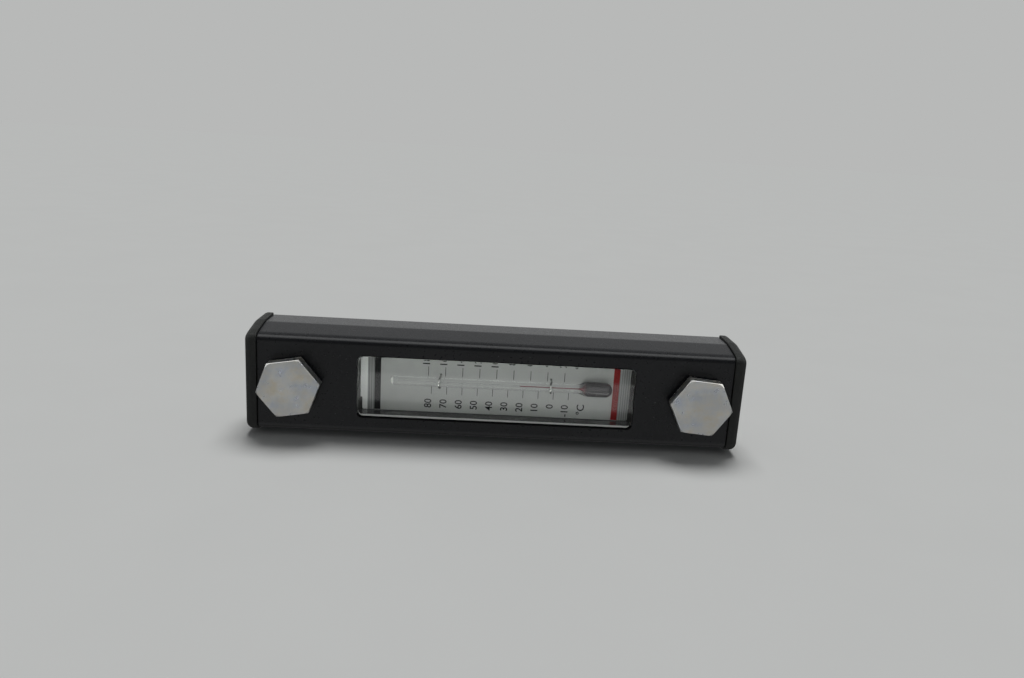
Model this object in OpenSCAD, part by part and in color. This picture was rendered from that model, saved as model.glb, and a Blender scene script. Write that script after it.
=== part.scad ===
// Column level gauge with a built-in spirit thermometer.
// It bolts flat on a tank wall with two hollow bolts, and the oil in the tank
// fills the clear tube between them through the bolts.
// X runs along the gauge from the maximum line (upper end, -X) to the minimum
// line (lower end, +X). The window looks toward -Y, the tank is on +Y, and Z
// runs across the gauge. The origin is on the tank face, midway between bolts.

/* [Layout] */
// Distance between the two bolts
bolt_pitch = 127; // [100:0.5:260]
// Depth from the tank face to the front face
depth = 21; // [17.5:0.1:30]

/* [Cover] */
// Width across the straight back part of the side walls
cover_w = 33.6; // [28:0.1:44]
// How far each side wall leans inward up to the front face
side_lean = 2.2; // [0.5:0.1:3]
// Distance from the tank face to where the side walls start to lean inward
bend_y = 10; // [6:0.1:13]
// Radius of the long front edges
edge_r = 2.2; // [0.5:0.1:3]
// Sheet thickness
sheet_t = 1.5; // [1:0.1:1.8]
// Distance from a bolt's axis to the end of the window beside it
window_margin = 20.1; // [16.7:0.1:28]
// Width of the window
window_w = 20; // [14:0.1:23]
// Radius of the window's corners
window_r = 1.8; // [0.5:0.1:4]

/* [End caps] */
// Thickness of a cap outside the cover
cap_t = 3.3; // [2:0.1:5]
// How far a cap stands proud of the cover all round
cap_proud = 0.6; // [0:0.1:1.5]
// Radius of a cap's outer edges
cap_r = 2.2; // [0.5:0.1:3]
// Thickness of the lip that fits inside the cover
cap_lip_t = 1.2; // [0.8:0.1:2]
// Length of that lip
cap_lip_l = 1.6; // [0.8:0.1:1.8]
// Gap between that lip and the end block behind it
cap_lip_gap = 0.55; // [0.2:0.05:10]

/* [Sight tube] */
// Gap between the tube's long front edge and the cover's side wall
tube_side_gap = 1; // [0.2:0.1:3]
// Wall thickness of the tube
tube_t = 1.6; // [1.2:0.1:2.2]
// Radius of the tube's outer long edges
tube_r = 3; // [1:0.1:5]
// Gap between the tube and the tank face
tube_back_gap = 1.2; // [0.5:0.1:3]
// Length of tube on each side beyond the window, under the cover
tube_under = 6.6; // [5.6:0.1:7]
// How far the raised window pane stands below the front face
pane_recess = 0.35; // [0:0.05:1]

/* [End blocks] */
// Length of the spigot inside the tube
spigot_l = 6.4; // [5.4:0.1:6.8]
// Width of the seal groove around the spigot
seal_groove_w = 2.1; // [1.6:0.1:3]
// Depth of the seal groove around the spigot
seal_groove_d = 1.3; // [1:0.1:1.6]
// Solid wall left beyond the bolt seals at the outer end of a block
block_end_wall = 1.2; // [0.8:0.1:1.4]
// Diameter of the oil channel along a block
channel_d = 4.6; // [3:0.1:5]

/* [Seals] */
// Section diameter of the round seals on a bolt
oring_cs = 2.4; // [2:0.1:2.6]
// How far the seal at the tank stands out of its seat
oring_proud = 0.5; // [0.2:0.1:0.8]
// Thickness of the flat seal under a bolt's head
head_seal_t = 1.5; // [1:0.1:2.5]
// Outer diameter of the flat seal under a bolt's head
head_seal_d = 15.6; // [14:0.1:16.6]

/* [Bolts] */
// Thread and shank diameter (M10)
bolt_d = 10; // [8:0.1:12]
// Size across the flats of a head
head_af = 17; // [16:0.5:19]
// Height of a head
head_h = 3.9; // [3:0.1:8]
// Width of the chamfer at a head's corners
head_chamfer = 0.56; // [0.2:0.02:2]
// How far a bolt stands out behind the tank face
bolt_out = 24; // [18:0.5:40]
// Chamfer at a bolt's tip
tip_chamfer = 1; // [0.3:0.1:1.5]
// Diameter of the oil bore up a bolt's middle
oil_bore_d = 5; // [3:0.1:5.5]
// Diameter of the cross hole
cross_hole_d = 3.6; // [2:0.1:4]
// Depth of the ring channel in the shank at the cross hole
waist_depth = 0.7; // [0.3:0.1:1]
// Angle of the upper bolt's head about its axis
head_turn_upper = 9.8; // [0:0.1:60]
// Angle of the lower bolt's head about its axis
head_turn_lower = 55.1; // [0:0.1:60]

/* [Nuts and washers] */
// Size across the flats of a nut
nut_af = 17; // [16:0.5:18]
// Height of a nut
nut_h = 8; // [6:0.1:9.6]
// Width of the chamfer at a nut's corners
nut_chamfer = 1.74; // [0.5:0.02:2]
// Outer diameter of a washer
washer_od = 20; // [18:0.5:24]
// Thickness of a washer
washer_t = 2; // [1:0.1:3]
// Length of thread beyond the nut as delivered
thread_past_nut = 3; // [1:0.1:6]

/* [Scale plate] */
// Distance from the front face to the plate's printed face
plate_depth = 11.2; // [9.8:0.1:12.4]
// Thickness of the plate
plate_t = 0.8; // [0.5:0.1:1.2]
// Width of the tabs at the plate's ends
tab_w = 13; // [8:0.1:15]
// Length of the tabs at the plate's ends
tab_l = 2; // [1:0.1:2.5]

/* [Thermometer] */
// Diameter of the glass stem
stem_d = 3; // [2.6:0.1:3.4]
// Diameter of the glass bulb
bulb_d = 4.8; // [3.6:0.1:5]
// Length of the glass bulb
bulb_l = 9.3; // [7:0.1:11]
// Distance from the bulb's closed end to the end of the window
bulb_margin = 5.9; // [1:0.1:12]
// Distance from the stem's closed end to the end of the window
stem_margin = 9.6; // [1:0.1:14]
// Diameter of the capillary
capillary_d = 0.5; // [0.4:0.05:0.8]
// Thickness of the bulb's glass
bulb_t = 0.5; // [0.3:0.05:0.8]
// Gap between the bulb and the plate
bulb_gap = 0.05; // [0.02:0.01:0.5]
// Offset of the stem from the gauge's long centre line
stem_z = 0.3; // [-1:0.1:1]
// Distance from the bulb to the scale's lowest mark
scale_low_gap = 4.47; // [2:0.01:8]
// Distance from the scale's highest mark to the stem's closed end
scale_high_gap = 12.89; // [4:0.01:16]
// Lowest temperature on the scale, in degrees Celsius
scale_low = -10; // [-30:5:0]
// Highest temperature on the scale, in degrees Celsius
scale_high = 80; // [60:5:120]
// Temperature shown, in degrees Celsius
reading = 22.6; // [0:0.1:60]
// Distance from the stem's closed end to the upper wire clip
clip_upper_gap = 15.8; // [4:0.1:24]
// Distance from the bulb to the lower wire clip
clip_lower_gap = 10.5; // [4:0.1:20]
// Diameter of the clip wire
wire_d = 0.6; // [0.4:0.1:0.7]
// Length of clip wire behind the plate
wire_out = 1.2; // [0.8:0.1:2]

/* [Fits] */
// Radial clearance of a bolt in a block and in a nut
running_gap = 0.04; // [0.02:0.01:0.1]
// Radial clearance of a bolt in the cover and in the seal under its head
hole_gap = 0.3; // [0.1:0.05:0.8]
// Radial clearance of a bolt in a washer and in the round seals
ring_gap = 0.25; // [0.1:0.05:0.5]
// Gap between pieces that fit into each other and don't move
fit_gap = 0.1; // [0.05:0.05:0.2]
// Gap of a seal in its seat
seal_gap = 0.03; // [0.02:0.01:0.1]
// Gap between the window and the pane
pane_gap = 0.2; // [0.1:0.05:0.5]
// Gap between a moving face and the fixed face that it bears on
face_gap = 0.05; // [0.02:0.01:0.1]

/* [Hidden] */

$fn = 96;
arc_steps = 8;
past = 1;
slice = 0.01;

UPPER = -1;
LOWER = 1;
BLACK = [0.09, 0.09, 0.10];
RUBBER = [0.05, 0.05, 0.05];
ZINC = [0.74, 0.75, 0.76];
CLEAR = [0.85, 0.92, 0.93, 0.3];

// Seats of the round seals, and the outer ends of the end blocks round them
bolt_x = bolt_pitch / 2;
oring_ring_r = bolt_d / 2 + ring_gap + oring_cs / 2;
seat_r = oring_ring_r + oring_cs / 2 + fit_gap;
block_out_x = bolt_x + seat_r + block_end_wall;

// Cover profile
front_y = -depth;
lean = side_lean / (depth - bend_y);
lean_scale = sqrt(1 + lean * lean);
cover_l = 2 * (block_out_x + cap_lip_gap + cap_lip_l - fit_gap);
overall_l = cover_l + 2 * cap_t;
inner_front_y = front_y + sheet_t;
inner_front_w = cover_w - 2 * side_lean + 2 * lean * sheet_t - 2 * sheet_t * lean_scale;
window_l = bolt_pitch - 2 * window_margin;
cover_hole_r = bolt_d / 2 + hole_gap;

// Clear tube
tube_front_y = inner_front_y + fit_gap;
tube_back_y = -tube_back_gap;
tube_half_l = window_l / 2 + tube_under;
tube_w = floor(10 * (inner_front_w - 2 * tube_side_gap)) / 10;
bore_front_y = tube_front_y + tube_t;
bore_back_y = tube_back_y - tube_t;
bore_w = tube_w - 2 * tube_t;
bore_r = tube_r - tube_t;
pane_front_y = front_y + pane_recess;

// End blocks
block_in_x = tube_half_l + fit_gap;
spigot_tip_x = block_in_x - spigot_l;
groove_x = (spigot_tip_x + tube_half_l) / 2;
channel_y = (bore_front_y + front_y + plate_depth) / 2;
bolt_bore_r = bolt_d / 2 + running_gap;

// Bolts, washers and nuts
head_under_y = front_y - head_seal_t - face_gap;
head_top_y = head_under_y - head_h;
waist_r = bolt_d / 2 - waist_depth;
oil_bore_end_y = channel_y - channel_d / 2;
nut_out_y = bolt_out - thread_past_nut;
nut_in_y = nut_out_y - nut_h;
washer_out_y = nut_in_y - face_gap;
washer_in_y = washer_out_y - washer_t;

// Scale plate
plate_front_y = front_y + plate_depth;
plate_back_y = plate_front_y + plate_t;
plate_half_l = spigot_tip_x - fit_gap;
plate_w = bore_w - 2 * fit_gap;

// Thermometer
stem_r = stem_d / 2;
bulb_r = bulb_d / 2;
stem_y = plate_front_y - bulb_gap - bulb_r;
stem_tip_x = -window_l / 2 + stem_margin;
bulb_end = window_l / 2 - bulb_margin;
bulb_neck_x = bulb_end - bulb_l;
low_mark_x = bulb_neck_x - scale_low_gap;
high_mark_x = stem_tip_x + scale_high_gap;
degree_l = (low_mark_x - high_mark_x) / (scale_high - scale_low);
cavity_r = bulb_r - bulb_t;
liquid_r = cavity_r - seal_gap;
capillary_tip_x = stem_tip_x + stem_r;
spirit_tip_x = low_mark_x - (reading - scale_low) * degree_l;
spirit_r = capillary_d / 2 - seal_gap;
clip_x = [stem_tip_x + clip_upper_gap, bulb_neck_x - clip_lower_gap];
clip_r = stem_r + wire_d / 2 + seal_gap;
wire_hole_r = wire_d / 2 + fit_gap;

function unit(v) = v / norm(v);

// Points of a round of radius r on the corner v between p0 and p1
function corner(p0, v, p1, r) =
    let(a = unit(p0 - v),
        b = unit(p1 - v),
        half = acos(a * b) / 2,
        c = v + unit(a + b) * r / sin(half),
        s = v + a * r / tan(half) - c,
        e = v + b * r / tan(half) - c,
        from = atan2(s.y, s.x),
        turn = (atan2(e.y, e.x) - from + 540) % 360 - 180)
    [for (i = [0:arc_steps]) c + r * [cos(from + turn * i / arc_steps), sin(from + turn * i / arc_steps)]];

// Outline of the channel as (y, z) points, moved inward by inset, open end at back_y
function channel(inset, r, back_y = 0) =
    let(half = cover_w / 2 - inset,
        bend = -bend_y - inset * (lean_scale - 1) / lean,
        front = front_y + inset,
        tip = cover_w / 2 - lean * (depth - inset - bend_y) - inset * lean_scale,
        low = corner([bend, -half], [front, -tip], [front, tip], r),
        high = corner([front, -tip], [front, tip], [bend, half], r))
    concat([[back_y, -half], [bend, -half]], low, high, [[bend, half], [back_y, half]]);

// Moves the children to the upper or the lower bolt, whose outer end faces +X before that
module at_bolt(side) {
    translate([side * bolt_x, 0, 0]) children();
}

// Makes the lower end's piece serve at either end
module at_end(side) {
    mirror([side == UPPER ? 1 : 0, 0, 0]) children();
}

// Extrudes an (x, z) outline from y0 to y1
module along_y(y0, y1) {
    translate([0, y1, 0])
        rotate([90, 0, 0])
            linear_extrude(height = y1 - y0) children();
}

// Extrudes a (y, z) outline from x0 to x1
module along_x(x0, x1) {
    translate([x0, 0, 0])
        rotate([90, 0, 90])
            linear_extrude(height = x1 - x0) children();
}

module rod_x(r, x0, x1) {
    translate([x0, 0, 0])
        rotate([0, 90, 0]) cylinder(r = r, h = x1 - x0);
}

module rod_y(r, y0, y1) {
    translate([0, y1, 0])
        rotate([90, 0, 0]) cylinder(r = r, h = y1 - y0);
}

// Cone along Y, radius r0 at y0 and r1 at y1
module cone_y(r0, r1, y0, y1) {
    translate([0, y1, 0])
        rotate([90, 0, 0]) cylinder(r1 = r1, r2 = r0, h = y1 - y0);
}

// Rectangle with round corners from (x0, y0) to (x1, y1)
module round_rect(x0, y0, x1, y1, r) {
    translate([x0 + r, y0]) square([x1 - x0 - 2 * r, y1 - y0]);
    translate([x0, y0 + r]) square([x1 - x0, y1 - y0 - 2 * r]);
    for (x = [x0 + r, x1 - r], y = [y0 + r, y1 - r]) translate([x, y]) circle(r = r);
}

module hexagon(af) {
    circle(r = af / 2 / cos(30), $fn = 6);
}

// Hexagonal prism from y0 to y1, its corners chamfered at 30 degrees at y0, and at y1 if asked for
module hex_body(af, chamfer, y0, y1, chamfer_back) {
    corner_r = af / 2 / cos(30);
    face_r = corner_r - chamfer;
    rise = chamfer * tan(30);
    front = [[0, y0], [face_r, y0], [corner_r, y0 + rise]];
    back = chamfer_back ? [[corner_r, y1 - rise], [face_r, y1], [0, y1]] : [[corner_r, y1], [0, y1]];
    intersection() {
        along_y(y0, y1) hexagon(af);
        rotate([-90, 0, 0])
            rotate_extrude() polygon(concat(front, back));
    }
}

module cover() {
    color(BLACK)
    difference() {
        along_x(-cover_l / 2, cover_l / 2) polygon(channel(0, edge_r));
        along_x(-cover_l / 2 - past, cover_l / 2 + past)
            polygon(channel(sheet_t, max(edge_r - sheet_t, 0.3), past));
        along_y(front_y - past, inner_front_y + past)
            round_rect(-window_l / 2, -window_w / 2, window_l / 2, window_w / 2, window_r);
        for (side = [UPPER, LOWER])
            at_bolt(side) rod_y(cover_hole_r, front_y - past, inner_front_y + past);
    }
}

module end_cap(side) {
    lip_in = sheet_t + fit_gap;
    face_x = cover_l / 2 + fit_gap;
    round_x = overall_l / 2 - cap_r;
    color(BLACK)
    at_end(side) {
        along_x(face_x, round_x) polygon(channel(-cap_proud, edge_r + cap_proud));
        hull()
            for (i = [0:arc_steps])
                along_x(round_x + cap_r * sin(90 * i / arc_steps) - (i == 0 ? 0 : slice),
                        round_x + cap_r * sin(90 * i / arc_steps) + (i == 0 ? slice : 0))
                    polygon(channel(cap_r * (1 - cos(90 * i / arc_steps)) - cap_proud, edge_r));
        difference() {
            along_x(face_x - cap_lip_l, face_x)
                polygon(channel(lip_in, max(edge_r - lip_in, 0.3)));
            along_x(face_x - cap_lip_l - past, face_x)
                polygon(channel(lip_in + cap_lip_t, 0.3, past));
        }
    }
}

module sight_tube() {
    color(CLEAR)
    difference() {
        union() {
            along_x(-tube_half_l, tube_half_l)
                round_rect(tube_front_y, -tube_w / 2, tube_back_y, tube_w / 2, tube_r);
            along_y(pane_front_y, bore_front_y)
                round_rect(-window_l / 2 + pane_gap, -window_w / 2 + pane_gap,
                           window_l / 2 - pane_gap, window_w / 2 - pane_gap, window_r - pane_gap);
        }
        along_x(-tube_half_l - past, tube_half_l + past)
            round_rect(bore_front_y, -bore_w / 2, bore_back_y, bore_w / 2, bore_r);
    }
}

// Outline of the spigot, moved inward by inset
module spigot_outline(inset) {
    gap = fit_gap + inset;
    round_rect(bore_front_y + gap, -bore_w / 2 + gap, bore_back_y - gap, bore_w / 2 - gap,
               max(bore_r - gap, 0.3));
}

module end_block(side) {
    seat_front = inner_front_y + fit_gap + oring_cs;
    seat_back = -oring_cs + oring_proud;
    color(BLACK)
    at_end(side)
    difference() {
        union() {
            along_x(block_in_x, block_out_x)
                polygon(channel(sheet_t + fit_gap, max(edge_r - sheet_t - fit_gap, 0.3)));
            along_x(spigot_tip_x, block_in_x + past) spigot_outline(0);
        }
        // groove for the tube seal
        difference() {
            along_x(groove_x - seal_groove_w / 2, groove_x + seal_groove_w / 2)
                square([2 * depth, 2 * cover_w], center = true);
            along_x(groove_x - seal_groove_w, groove_x + seal_groove_w)
                spigot_outline(seal_groove_d);
        }
        // slot for the scale plate's tab
        along_y(plate_front_y - fit_gap, plate_back_y + fit_gap)
            translate([spigot_tip_x - past, -tab_w / 2 - fit_gap])
                square([past + tab_l + fit_gap, tab_w + 2 * fit_gap]);
        // oil channel from the tube to the bolt
        translate([0, channel_y, 0]) rod_x(channel_d / 2, spigot_tip_x - past, bolt_x);
        // bolt bore and the seats of its two round seals
        translate([bolt_x, 0, 0]) {
            rod_y(bolt_bore_r, front_y, past);
            rod_y(seat_r, front_y, seat_front);
            rod_y(seat_r, seat_back, past);
        }
    }
}

// Square-section seal in the spigot's groove
module tube_seal(side) {
    half = seal_groove_w / 2 - seal_gap;
    color(RUBBER)
    at_end(side)
    difference() {
        along_x(groove_x - half, groove_x + half) spigot_outline(seal_gap - fit_gap);
        along_x(groove_x - half - past, groove_x + half + past) spigot_outline(seal_groove_d - seal_gap);
    }
}

// Round seal on a bolt, its middle at y
module bolt_oring(side, y) {
    color(RUBBER)
    at_bolt(side)
        translate([0, y, 0])
            rotate([90, 0, 0])
                rotate_extrude()
                    translate([oring_ring_r, 0]) circle(r = oring_cs / 2 - seal_gap);
}

module tank_seal(side) {
    bolt_oring(side, oring_proud - oring_cs / 2);
}

module shank_seal(side) {
    bolt_oring(side, inner_front_y + fit_gap + oring_cs / 2);
}

module head_seal(side) {
    color(RUBBER)
    at_bolt(side)
    difference() {
        rod_y(head_seal_d / 2, front_y - head_seal_t, front_y);
        rod_y(cover_hole_r, front_y - head_seal_t - past, front_y + past);
    }
}

module banjo_bolt(side, head_turn) {
    color(ZINC)
    at_bolt(side)
    difference() {
        union() {
            rotate([0, -head_turn, 0])
                hex_body(head_af, head_chamfer, head_top_y, head_under_y, false);
            rod_y(bolt_d / 2, head_under_y - past, channel_y - channel_d / 2);
            rod_y(waist_r, channel_y - channel_d, channel_y + channel_d);
            rod_y(bolt_d / 2, channel_y + channel_d / 2, bolt_out - tip_chamfer);
            cone_y(bolt_d / 2, bolt_d / 2 - tip_chamfer, bolt_out - tip_chamfer, bolt_out);
        }
        rod_y(oil_bore_d / 2, oil_bore_end_y, bolt_out + past);
        translate([0, channel_y, 0]) {
            rod_x(cross_hole_d / 2, -bolt_d, bolt_d);
            translate([0, 0, -bolt_d]) cylinder(r = cross_hole_d / 2, h = 2 * bolt_d);
        }
    }
}

module washer(side) {
    color(ZINC)
    at_bolt(side)
    difference() {
        rod_y(washer_od / 2, washer_in_y, washer_out_y);
        rod_y(bolt_d / 2 + ring_gap, washer_in_y - past, washer_out_y + past);
    }
}

module nut(side) {
    color(ZINC)
    at_bolt(side)
    difference() {
        hex_body(nut_af, nut_chamfer, nut_in_y, nut_out_y, true);
        rod_y(bolt_bore_r, nut_in_y - past, nut_out_y + past);
    }
}

module scale_plate() {
    color("white")
    difference() {
        along_y(plate_front_y, plate_back_y) {
            square([2 * plate_half_l, plate_w], center = true);
            square([2 * (plate_half_l + tab_l), tab_w], center = true);
        }
        for (x = clip_x, s = [-1, 1])
            translate([x, 0, stem_z + s * clip_r])
                rod_y(wire_hole_r, plate_front_y - past, plate_back_y + past);
    }
}

// Round bar with ball ends along X, the ends of the balls at x0 and x1
module capsule(r, x0, x1) {
    rod_x(r, x0 + r, x1 - r);
    for (x = [x0 + r, x1 - r]) translate([x, 0, 0]) sphere(r = r);
}

module thermometer_glass() {
    color(CLEAR)
    translate([0, stem_y, stem_z])
    difference() {
        union() {
            capsule(stem_r, stem_tip_x, bulb_neck_x + bulb_r);
            capsule(bulb_r, bulb_neck_x, bulb_end);
        }
        capsule(cavity_r, bulb_neck_x + bulb_t, bulb_end - bulb_t);
        rod_x(capillary_d / 2, capillary_tip_x, bulb_neck_x + bulb_r);
    }
}

module bulb_liquid() {
    color([0.22, 0.19, 0.22])
    translate([0, stem_y, stem_z])
        capsule(liquid_r, bulb_neck_x + bulb_t + seal_gap, bulb_end - bulb_t - seal_gap);
}

module spirit_thread() {
    color([0.62, 0.10, 0.10])
    translate([0, stem_y, stem_z])
        rod_x(spirit_r, spirit_tip_x, bulb_neck_x + bulb_t);
}

// Wire bow over the stem, with two legs through the plate
module wire_clip(x) {
    color(ZINC)
    translate([x, stem_y, stem_z]) {
        mirror([0, 1, 0])
            rotate([0, 90, 0])
                rotate_extrude(angle = 180) translate([clip_r, 0]) circle(r = wire_d / 2);
        for (s = [-1, 1])
            translate([0, 0, s * clip_r]) rod_y(wire_d / 2, 0, plate_back_y + wire_out - stem_y);
    }
}

cover();
end_cap(UPPER);  // end_cap_upper
end_cap(LOWER);  // end_cap_lower
sight_tube();
end_block(UPPER);  // end_block_upper
end_block(LOWER);  // end_block_lower
tube_seal(UPPER);  // tube_seal_upper
tube_seal(LOWER);  // tube_seal_lower
tank_seal(UPPER);  // tank_seal_upper
tank_seal(LOWER);  // tank_seal_lower
shank_seal(UPPER);  // shank_seal_upper
shank_seal(LOWER);  // shank_seal_lower
head_seal(UPPER);  // head_seal_upper
head_seal(LOWER);  // head_seal_lower
banjo_bolt(UPPER, head_turn_upper);  // banjo_bolt_upper
banjo_bolt(LOWER, head_turn_lower);  // banjo_bolt_lower
washer(UPPER);  // washer_upper
washer(LOWER);  // washer_lower
nut(UPPER);  // nut_upper
nut(LOWER);  // nut_lower
scale_plate();
thermometer_glass();
bulb_liquid();
spirit_thread();
wire_clip(clip_x[0]);  // wire_clip_upper
wire_clip(clip_x[1]);  // wire_clip_lower
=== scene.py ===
"""Looks of a column level gauge with a built-in thermometer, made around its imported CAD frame.

X runs along the gauge from its maximum line to its minimum line, the window looks toward -Y and Z is up.
Sizes are in millimetres until a mesh is made.
"""

import math

import bmesh
import bpy
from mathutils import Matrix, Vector


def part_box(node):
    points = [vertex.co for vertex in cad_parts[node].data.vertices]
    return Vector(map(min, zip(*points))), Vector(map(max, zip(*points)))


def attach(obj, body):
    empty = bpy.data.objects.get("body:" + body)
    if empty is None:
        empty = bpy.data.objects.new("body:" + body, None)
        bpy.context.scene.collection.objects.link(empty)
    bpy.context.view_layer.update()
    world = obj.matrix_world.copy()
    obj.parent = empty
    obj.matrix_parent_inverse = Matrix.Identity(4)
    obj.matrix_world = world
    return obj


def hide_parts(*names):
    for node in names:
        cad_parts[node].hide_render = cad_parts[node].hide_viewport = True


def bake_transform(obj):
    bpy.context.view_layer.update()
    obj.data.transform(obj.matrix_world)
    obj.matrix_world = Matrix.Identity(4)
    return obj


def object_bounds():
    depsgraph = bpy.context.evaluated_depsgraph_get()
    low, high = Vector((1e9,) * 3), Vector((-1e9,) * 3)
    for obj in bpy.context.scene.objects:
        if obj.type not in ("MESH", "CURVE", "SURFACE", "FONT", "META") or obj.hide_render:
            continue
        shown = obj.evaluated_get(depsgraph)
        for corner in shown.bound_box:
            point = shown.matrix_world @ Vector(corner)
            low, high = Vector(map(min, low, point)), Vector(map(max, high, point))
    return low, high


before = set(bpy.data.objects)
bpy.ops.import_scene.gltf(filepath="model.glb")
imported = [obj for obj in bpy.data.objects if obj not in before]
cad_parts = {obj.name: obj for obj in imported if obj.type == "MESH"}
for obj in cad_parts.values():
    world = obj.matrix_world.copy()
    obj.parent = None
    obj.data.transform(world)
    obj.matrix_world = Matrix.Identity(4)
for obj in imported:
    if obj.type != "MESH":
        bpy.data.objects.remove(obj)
CAD_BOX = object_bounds()

MM = 0.001
SIDES = (("upper", -1), ("lower", 1))
FULL_TURN = 2 * math.pi


def span(node):
    """Lowest and highest corner of a CAD node, in millimetres."""
    low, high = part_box(node)
    return low / MM, high / MM


# Places taken from the frame
COVER_LO, COVER_HI = span("cover")
CAP_LO, CAP_HI = span("end_cap_lower")
TUBE_LO, TUBE_HI = span("sight_tube")
BOLT_LO, BOLT_HI = span("banjo_bolt_lower")
NUT_LO, NUT_HI = span("nut_lower")
PLATE_LO, PLATE_HI = span("scale_plate")
GLASS_LO, GLASS_HI = span("thermometer_glass")
SPIRIT_TIP_X = span("spirit_thread")[0].x
BOLT_X = (NUT_LO.x + NUT_HI.x) / 2
FLOOR_Z = CAD_BOX[0].z / MM

# Cover and caps
BEND_Y, BEND_R, SIDE_LEAN, SHEET, EDGE_R = 10.0, 6.5, 2.2, 1.5, 2.2
SHOULDER_L, SHOULDER_LEAN, JOINT_SHIFT = 2.7, 0.10, 0.5
# The shoulder's radius falls by so much for each millimetre that the outline moves inward
SHOULDER_R, SHOULDER_MIN_R, SHOULDER_FALL = 9.0, 0.5, 3
COVER_SOFT = 0.22
WINDOW_HALF_L, WINDOW_HALF_W, WINDOW_R = 43.4, 10.0, 1.8
COVER_HOLE_R = 5.3
CAP_PROUD, CAP_R, CAP_SOFT, CAP_EDGE, LIP_GAP, LIP_T = 0.6, 2.2, 0.25, 0.15, 0.1, 1.2
# Clear tube
PANE_GAP, PANE_EXTRA_R, PANE_RIM, LOWER_RIM, TUBE_T, TUBE_R = 0.2, 0.3, 0.2, 0.9, 1.6, 3.0
TUBE_FRONT_Y = -19.4
# Bolts, nuts and washers
ACROSS_FLATS, HEAD_CHAMFER, NUT_CHAMFER, HEX_EDGE = 17.0, 0.56, 1.74, 0.08
HEAD_TURN = {"upper": 9.8, "lower": 55.1}
HEAD_H, SHANK_R, OIL_BORE_R, OIL_BORE_END_Y = 3.9, 5.0, 2.5, -16.1
UNDER_HEAD, HEAD_FACE_RINGS, BORE_EDGE = 0.4, (3.0, 6.0), 0.35
THREAD_PITCH, THREAD_DEPTH, THREAD_START_Y, THREAD_FLAT, TIP_CHAMFER = 1.5, 0.9, 1.2, 0.14, 1.0
ROWS_PER_PITCH, HEX_COLUMNS, ROUND_COLUMNS = 12, 72, 96
CHAMFER_SLOPE = math.tan(math.pi / 6)
NUT_BORE_R, NUT_SINK = 5.04, 0.5
WASHER_BORE_R, WASHER_EDGE, SEAL_EDGE = 5.25, 0.3, 0.35
# Scale plate and its print
TAB_W, TAB_L, LEFT_TRIM, PLATE_SOFT, LEG_HOLE = 13.0, 2.0, 0.45, 0.06, 0.4
INK, INK_GAP, MARK_W, LINE_MARGIN = 0.02, 0.001, 0.17, 0.15
MAX_LINE, MIN_LINE, BARE_END_X = (-39.23, -37.25), (38.08, 40.1), -41.44
CELSIUS_0_X, DEGREE = 18.77, 0.496
CELSIUS_MARK, FAHRENHEIT_MARK = (-4.5, -1.7), (1.6, 4.7)
NUMBER_H, NUMBER_SQUEEZE = 2.35, 0.97
# Middle of a number from its mark along X, and where it ends or starts along Z
CELSIUS_SHIFT, CELSIUS_END_Z = -1.05, -6.2
FAHRENHEIT_SHIFT, FAHRENHEIT_Z, LONG_NUMBER_Z = -0.72, 6.4, 5.45
# Unit signs, placed by the Celsius degrees where their middle lies: at, end or start along Z, height
CELSIUS_SIGN, FAHRENHEIT_SIGN = (-18.3, -5.8, 2.6), (-15.6, 6.2, 2.35)
# Thermometer
# The sealed end's length is how much glass at the stem's tip is painted near-white as a painted highlight
STEM_R, CAPILLARY_R, SEALED_END_HIGHLIGHT, BORE_START = 1.5, 0.13, 0.9, 2.4
STEM_Y, STEM_Z = (GLASS_LO.y + GLASS_HI.y) / 2, (GLASS_LO.z + GLASS_HI.z) / 2
CLIP_XS = {"upper": -18.0, "lower": 17.73}
WIRE_R, CLIP_R, CLIP_LEAN = 0.3, 1.83, 0.4
CLIP_BEND_Y = 0.75
# A clip's leg as (y from the bend behind the plate, distance beyond the bow's radius)
CLIP_LEG = [(0.1, 0.85), (0, 0.45), (-0.35, 0.08), (-0.8, 0)]
# Neck of the glass and of the liquid in it, as (x, radius)
GLASS_NECK = [(25.6, STEM_R), (26.6, 1.53), (27.3, 1.68), (28.0, 1.98), (28.7, 2.24), (29.5, 2.37),
              (30.4, 2.4)]
LIQUID_NECK = [(26.3, CAPILLARY_R), (27.0, 0.22), (27.6, 0.42), (28.1, 0.75), (28.5, 1.12), (28.9, 1.47),
               (29.4, 1.74), (30.1, 1.86)]
BULB_R, BULB_WALL_END, LIQUID_END_R, LIQUID_SWELL = 2.4, 0.55, 1.4, 0.46
RED_NECK = (27.0, 29.2)
LIQUID_OVER, SPIRIT_OVER, SPIRIT_FOOT_X, SPIRIT_TIP = 0.012, 0.008, 28.2, 0.1

# Camera and lamp
CAMERA_PLACE, CAMERA_TURN, LENS, SENSOR = (-5.74, -263.61, 77.95), (76.042, -3.334, -1.431), 28.63, 36
LAMP_STRENGTH, LAMP_SPREAD, LAMP_TURN = 1.63, 30, (-18, 2, 0)
FLOOR_R = 6000
# Greys of the room by the angle from the front horizon over the top, in degrees, 90 straight up
MIRRORED = [(-180, 0.10), (-100, 0.10), (-60, 0.42), (-25, 0.42), (-23, 0.06), (-13, 0.06), (-11, 0.40),
            (-2, 0.30), (10, 0.10), (56, 0.07), (64, 0.30), (70, 1.90), (104, 1.90), (114, 0.08), (130, 0.06),
            (136, 0.36), (145, 0.37), (156, 0.60), (180, 0.60)]
THROUGH = [(-180, 0.01), (-100, 0.02), (-84, 3.10), (-34, 3.10), (-27, 0.55), (-6, 0.55), (4, 1.45),
           (70, 1.45), (90, 0.10), (180, 0.01)]
ROOM_TOP = 3.1
# A pale card low in front, seen mirrored in the pane
CARD_LOW, CARD_HIGH, CARD_EDGE, CARD = -18.7, -16.77, 0.12, 1.0
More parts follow.
